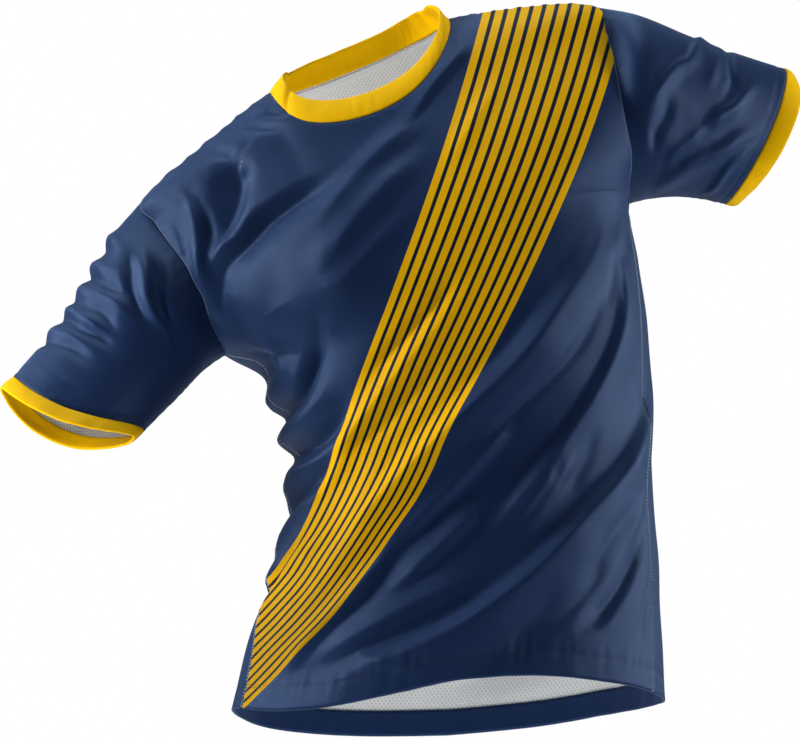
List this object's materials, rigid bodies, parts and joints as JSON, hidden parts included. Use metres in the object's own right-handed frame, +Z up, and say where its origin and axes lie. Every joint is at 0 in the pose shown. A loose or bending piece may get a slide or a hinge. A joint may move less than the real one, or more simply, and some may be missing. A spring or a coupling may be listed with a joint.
{
  "type": "soccer jersey",
  "caption": "Short-sleeved crew-neck soccer jersey, filled out as worn, with a knitted collar and cuffs and a diagonal striped sash.",
  "frame": {"origin": "where the wearer carries the jersey: midway between the neck ends of the two shoulder seams", "axes": "+Z up, the front of the jersey faces -Y, the wearer's left is +X"},
  "size_m": [0.8021, 0.271, 0.7384],
  "materials": {
    "navy_polyester": "satin interlock knit, navy outside with a gold striped sash on the front, off-white mesh inside",
    "gold_rib": "satin knitted rib, golden yellow",
    "white_tape": "matt woven tape, white"
  },
  "bodies": {
    "root": {"front": "navy_polyester", "back": "navy_polyester", "sleeve_left": "navy_polyester", "sleeve_right": "navy_polyester", "collar": "gold_rib", "cuff_left": "gold_rib", "cuff_right": "gold_rib", "hem_front": "navy_polyester", "hem_back": "navy_polyester", "neck_tape": "white_tape"}
  },
  "joints": []
}
